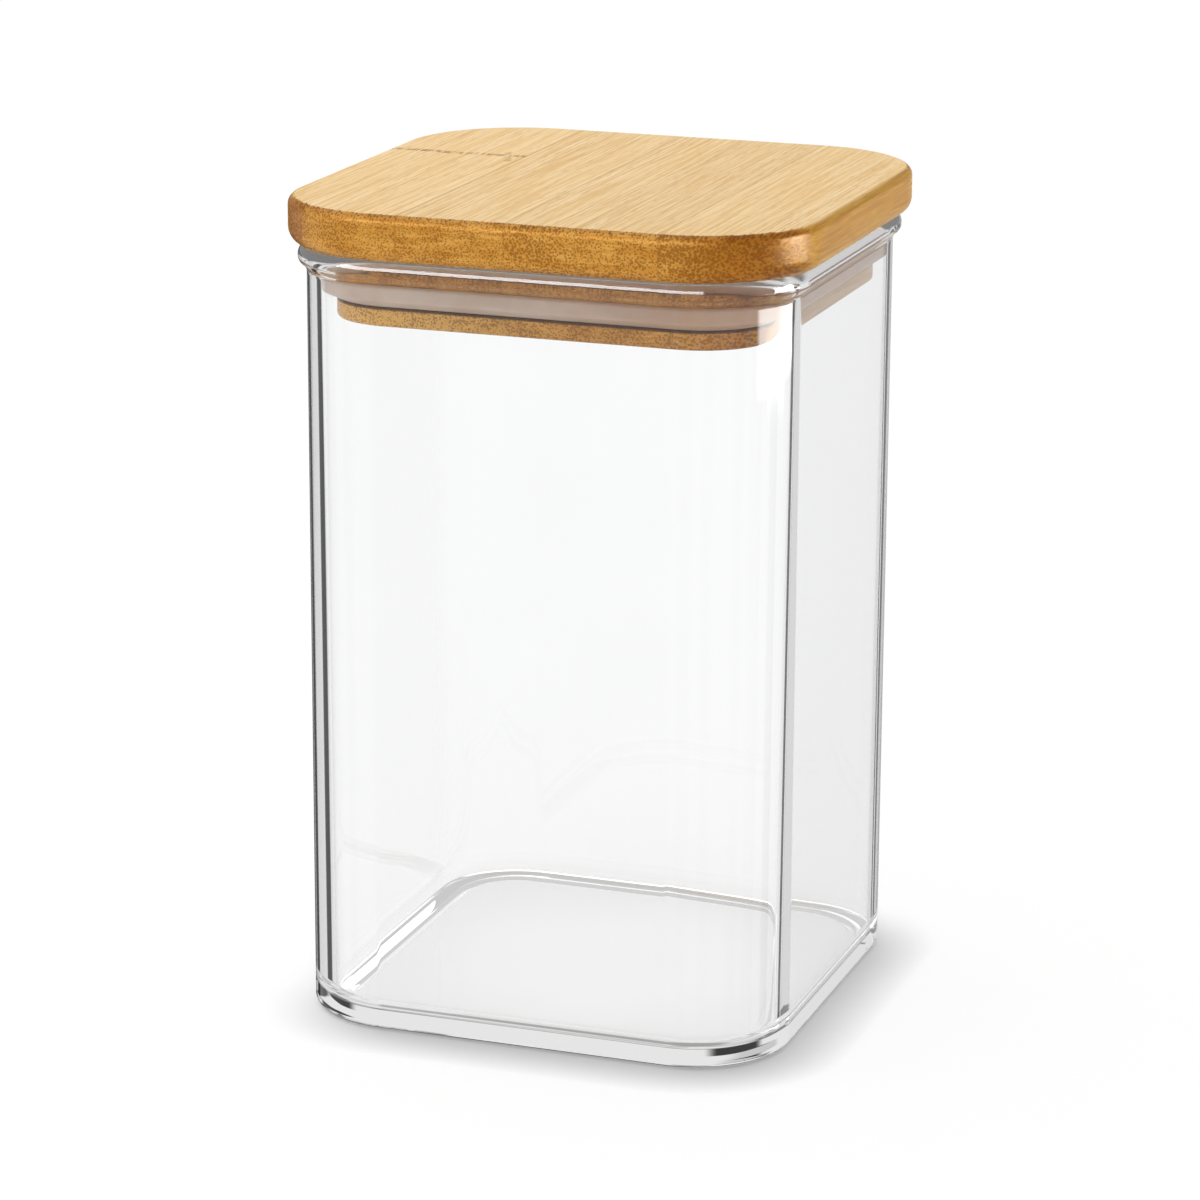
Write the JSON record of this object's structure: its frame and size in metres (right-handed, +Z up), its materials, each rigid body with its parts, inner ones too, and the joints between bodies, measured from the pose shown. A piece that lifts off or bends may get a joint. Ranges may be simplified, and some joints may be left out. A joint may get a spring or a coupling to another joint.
{
  "type": "spice jar",
  "caption": "Square clear glass food jar with rounded corners and a rolled lip, closed by a bamboo plug lid with a soft sealing ring that lifts straight off.",
  "frame": {"origin": "middle of the base, on the surface that the jar stands on", "axes": "+Z up through the mouth and the lid, the front of the jar looks along -Y, and the grain of the lid runs along Y"},
  "size_m": [0.1, 0.1, 0.154],
  "materials": {
    "glass": "clear pressed glass",
    "bamboo": "sanded and oiled bamboo",
    "seal": "translucent silicone"
  },
  "bodies": {
    "jar": {"glass_jar": "glass"},
    "lid": {"lid_stave_1": "bamboo", "lid_stave_2": "bamboo", "lid_stave_3": "bamboo", "lid_stave_4": "bamboo", "lid_stave_5": "bamboo", "lid_stave_6": "bamboo", "seal_ring": "seal"}
  },
  "joints": [
    {"name": "lid_lift", "type": "slide", "parent": "jar", "child": "lid", "axis": [0, 0, 1], "range_m": [0, 0.12]}
  ]
}
